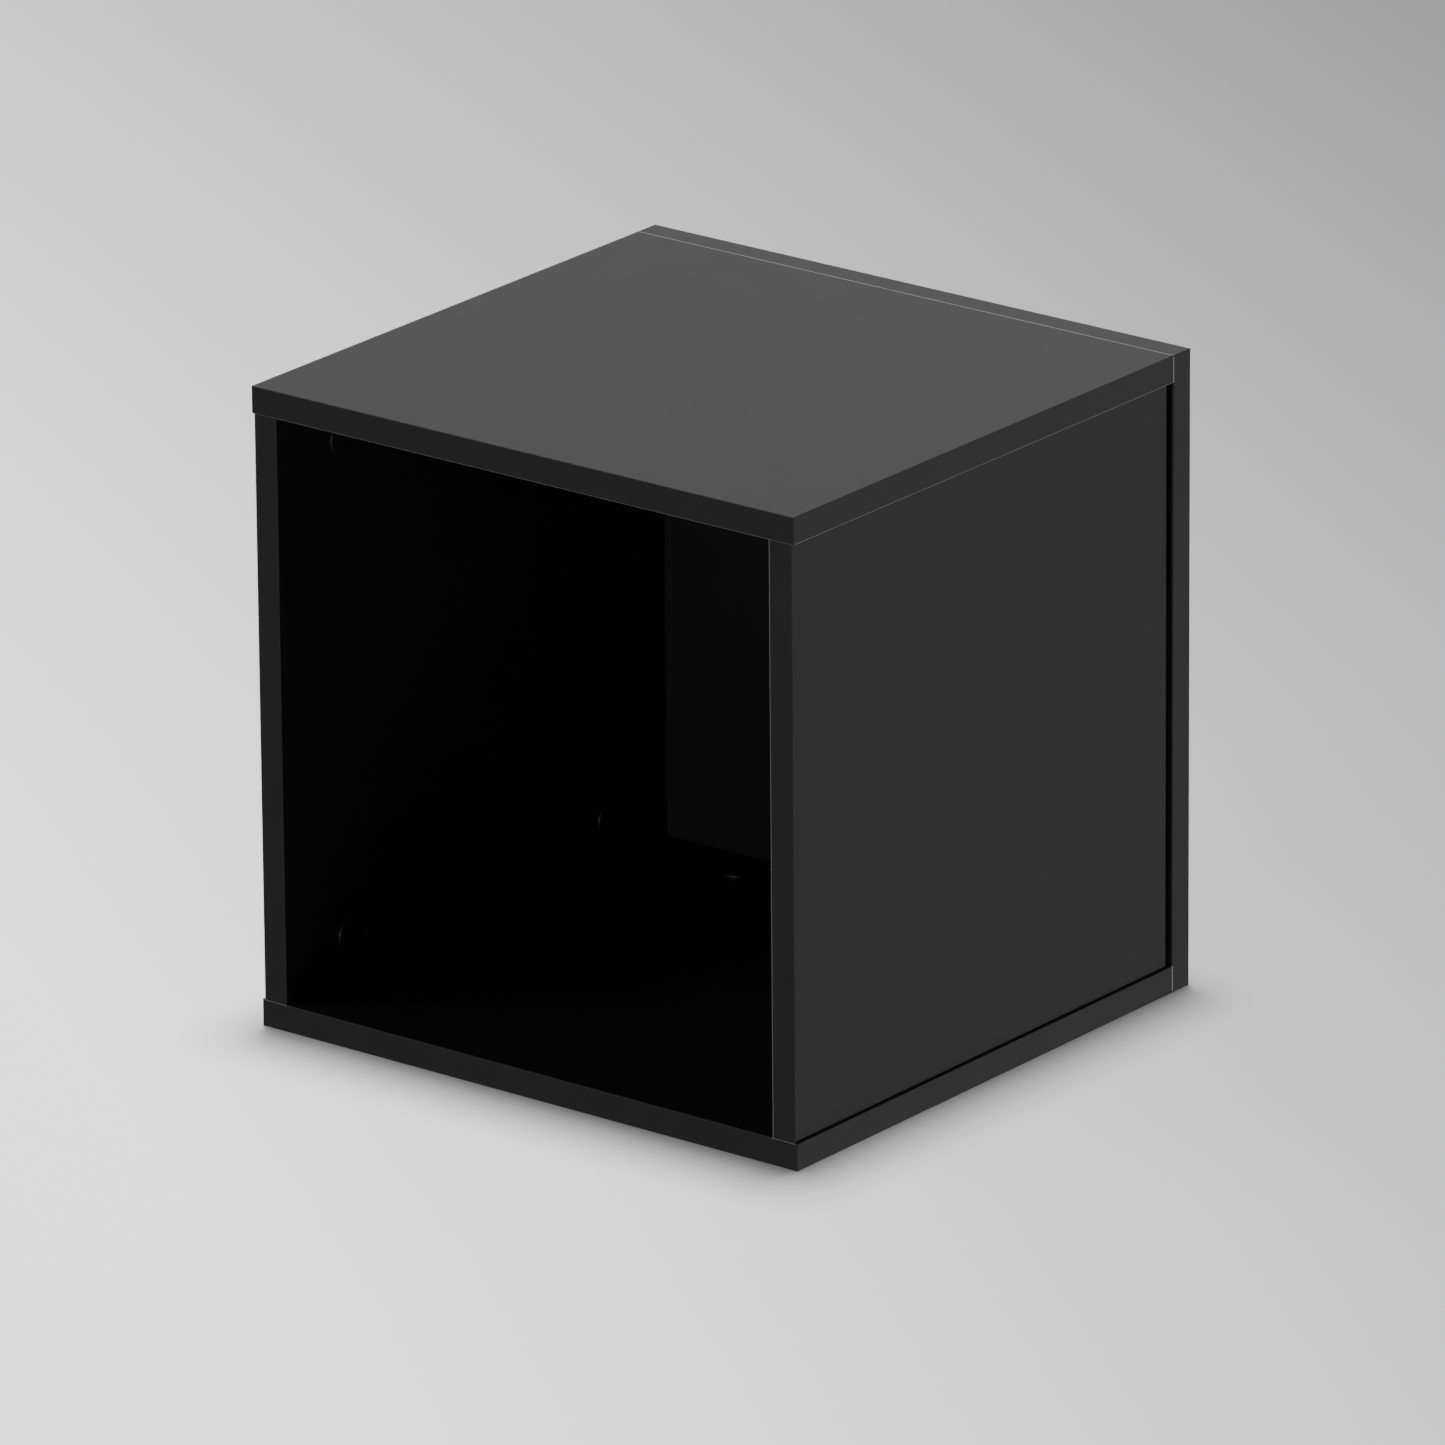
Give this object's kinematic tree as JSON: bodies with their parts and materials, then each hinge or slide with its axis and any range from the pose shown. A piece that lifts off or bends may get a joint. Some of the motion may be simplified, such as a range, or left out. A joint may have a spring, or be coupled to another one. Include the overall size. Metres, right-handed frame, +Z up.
{
  "type": "open-front storage cube",
  "caption": "Black open-front storage cube of laminated boards with edge bands, joined by hidden cam locks, cam bolts and dowels; stacks, and holds record sleeves upright.",
  "frame": {"origin": "on the floor, in the middle of the footprint", "axes": "+X to the right seen from the open front, +Y from the open front to the back panel, +Z up"},
  "size_m": [0.355, 0.34, 0.355],
  "materials": {
    "black_board": "black melamine-faced board, very fine matt texture",
    "edge_band": "black edge band, fine matt",
    "cam_metal": "bare zinc die casting",
    "bolt_metal": "bright zinc-plated steel",
    "cover_cap": "black moulded plastic, fine matt",
    "beech": "fluted beech dowel, bare"
  },
  "bodies": {
    "carcass": {"top_panel": "black_board", "bottom_panel": "black_board", "left_side_panel": "black_board", "right_side_panel": "black_board", "back_panel": "black_board", "top_front_band": "edge_band", "bottom_front_band": "edge_band", "top_left_band": "edge_band", "top_right_band": "edge_band", "bottom_left_band": "edge_band", "bottom_right_band": "edge_band", "left_side_front_band": "edge_band", "right_side_front_band": "edge_band", "back_left_band": "edge_band", "back_right_band": "edge_band", "back_bottom_band": "edge_band", "back_top_band": "edge_band", "dowel_left_top": "beech", "dowel_left_bottom": "beech", "dowel_right_top": "beech", "dowel_right_bottom": "beech", "dowel_back_top": "beech", "dowel_back_bottom": "beech", "cam_bolt_left_top_front": "bolt_metal", "cam_bolt_left_top_rear": "bolt_metal", "cam_bolt_left_bottom_front": "bolt_metal", "cam_bolt_left_bottom_rear": "bolt_metal", "cam_bolt_right_top_front": "bolt_metal", "cam_bolt_right_top_rear": "bolt_metal", "cam_bolt_right_bottom_front": "bolt_metal", "cam_bolt_right_bottom_rear": "bolt_metal", "cam_bolt_back_top_left": "bolt_metal", "cam_bolt_back_top_right": "bolt_metal", "cam_bolt_back_bottom_left": "bolt_metal", "cam_bolt_back_bottom_right": "bolt_metal"},
    "cam_left_top_front": {"cam_lock_left_top_front": "cam_metal", "cover_cap_left_top_front": "cover_cap"},
    "cam_left_top_rear": {"cam_lock_left_top_rear": "cam_metal", "cover_cap_left_top_rear": "cover_cap"},
    "cam_left_bottom_front": {"cam_lock_left_bottom_front": "cam_metal", "cover_cap_left_bottom_front": "cover_cap"},
    "cam_left_bottom_rear": {"cam_lock_left_bottom_rear": "cam_metal", "cover_cap_left_bottom_rear": "cover_cap"},
    "cam_right_top_front": {"cam_lock_right_top_front": "cam_metal", "cover_cap_right_top_front": "cover_cap"},
    "cam_right_top_rear": {"cam_lock_right_top_rear": "cam_metal", "cover_cap_right_top_rear": "cover_cap"},
    "cam_right_bottom_front": {"cam_lock_right_bottom_front": "cam_metal", "cover_cap_right_bottom_front": "cover_cap"},
    "cam_right_bottom_rear": {"cam_lock_right_bottom_rear": "cam_metal", "cover_cap_right_bottom_rear": "cover_cap"},
    "cam_back_top_left": {"cam_lock_back_top_left": "cam_metal", "cover_cap_back_top_left": "cover_cap"},
    "cam_back_top_right": {"cam_lock_back_top_right": "cam_metal", "cover_cap_back_top_right": "cover_cap"},
    "cam_back_bottom_left": {"cam_lock_back_bottom_left": "cam_metal", "cover_cap_back_bottom_left": "cover_cap"},
    "cam_back_bottom_right": {"cam_lock_back_bottom_right": "cam_metal", "cover_cap_back_bottom_right": "cover_cap"}
  },
  "joints": [
    {"name": "cam_turn_left_top_front", "type": "hinge", "parent": "carcass", "child": "cam_left_top_front", "pos_m": [-0.1612, -0.118, 0.3157], "axis": [1, 0, 0], "range_deg": [0, 190]},
    {"name": "cam_turn_left_top_rear", "type": "hinge", "parent": "carcass", "child": "cam_left_top_rear", "pos_m": [-0.1612, 0.1027, 0.3157], "axis": [1, 0, 0], "range_deg": [0, 190]},
    {"name": "cam_turn_left_bottom_front", "type": "hinge", "parent": "carcass", "child": "cam_left_bottom_front", "pos_m": [-0.1612, -0.118, 0.0393], "axis": [1, 0, 0], "range_deg": [0, 190]},
    {"name": "cam_turn_left_bottom_rear", "type": "hinge", "parent": "carcass", "child": "cam_left_bottom_rear", "pos_m": [-0.1612, 0.1027, 0.0393], "axis": [1, 0, 0], "range_deg": [0, 190]},
    {"name": "cam_turn_right_top_front", "type": "hinge", "parent": "carcass", "child": "cam_right_top_front", "pos_m": [0.1612, -0.118, 0.3157], "axis": [-1, 0, 0], "range_deg": [0, 190]},
    {"name": "cam_turn_right_top_rear", "type": "hinge", "parent": "carcass", "child": "cam_right_top_rear", "pos_m": [0.1612, 0.1027, 0.3157], "axis": [-1, 0, 0], "range_deg": [0, 190]},
    {"name": "cam_turn_right_bottom_front", "type": "hinge", "parent": "carcass", "child": "cam_right_bottom_front", "pos_m": [0.1612, -0.118, 0.0393], "axis": [-1, 0, 0], "range_deg": [0, 190]},
    {"name": "cam_turn_right_bottom_rear", "type": "hinge", "parent": "carcass", "child": "cam_right_bottom_rear", "pos_m": [0.1612, 0.1027, 0.0393], "axis": [-1, 0, 0], "range_deg": [0, 190]},
    {"name": "cam_turn_back_top_left", "type": "hinge", "parent": "carcass", "child": "cam_back_top_left", "pos_m": [-0.095, 0.1307, 0.34], "axis": [0, 0, -1], "range_deg": [0, 190]},
    {"name": "cam_turn_back_top_right", "type": "hinge", "parent": "carcass", "child": "cam_back_top_right", "pos_m": [0.095, 0.1307, 0.34], "axis": [0, 0, -1], "range_deg": [0, 190]},
    {"name": "cam_turn_back_bottom_left", "type": "hinge", "parent": "carcass", "child": "cam_back_bottom_left", "pos_m": [-0.095, 0.1307, 0.015], "axis": [0, 0, 1], "range_deg": [0, 190]},
    {"name": "cam_turn_back_bottom_right", "type": "hinge", "parent": "carcass", "child": "cam_back_bottom_right", "pos_m": [0.095, 0.1307, 0.015], "axis": [0, 0, 1], "range_deg": [0, 190]}
  ]
}
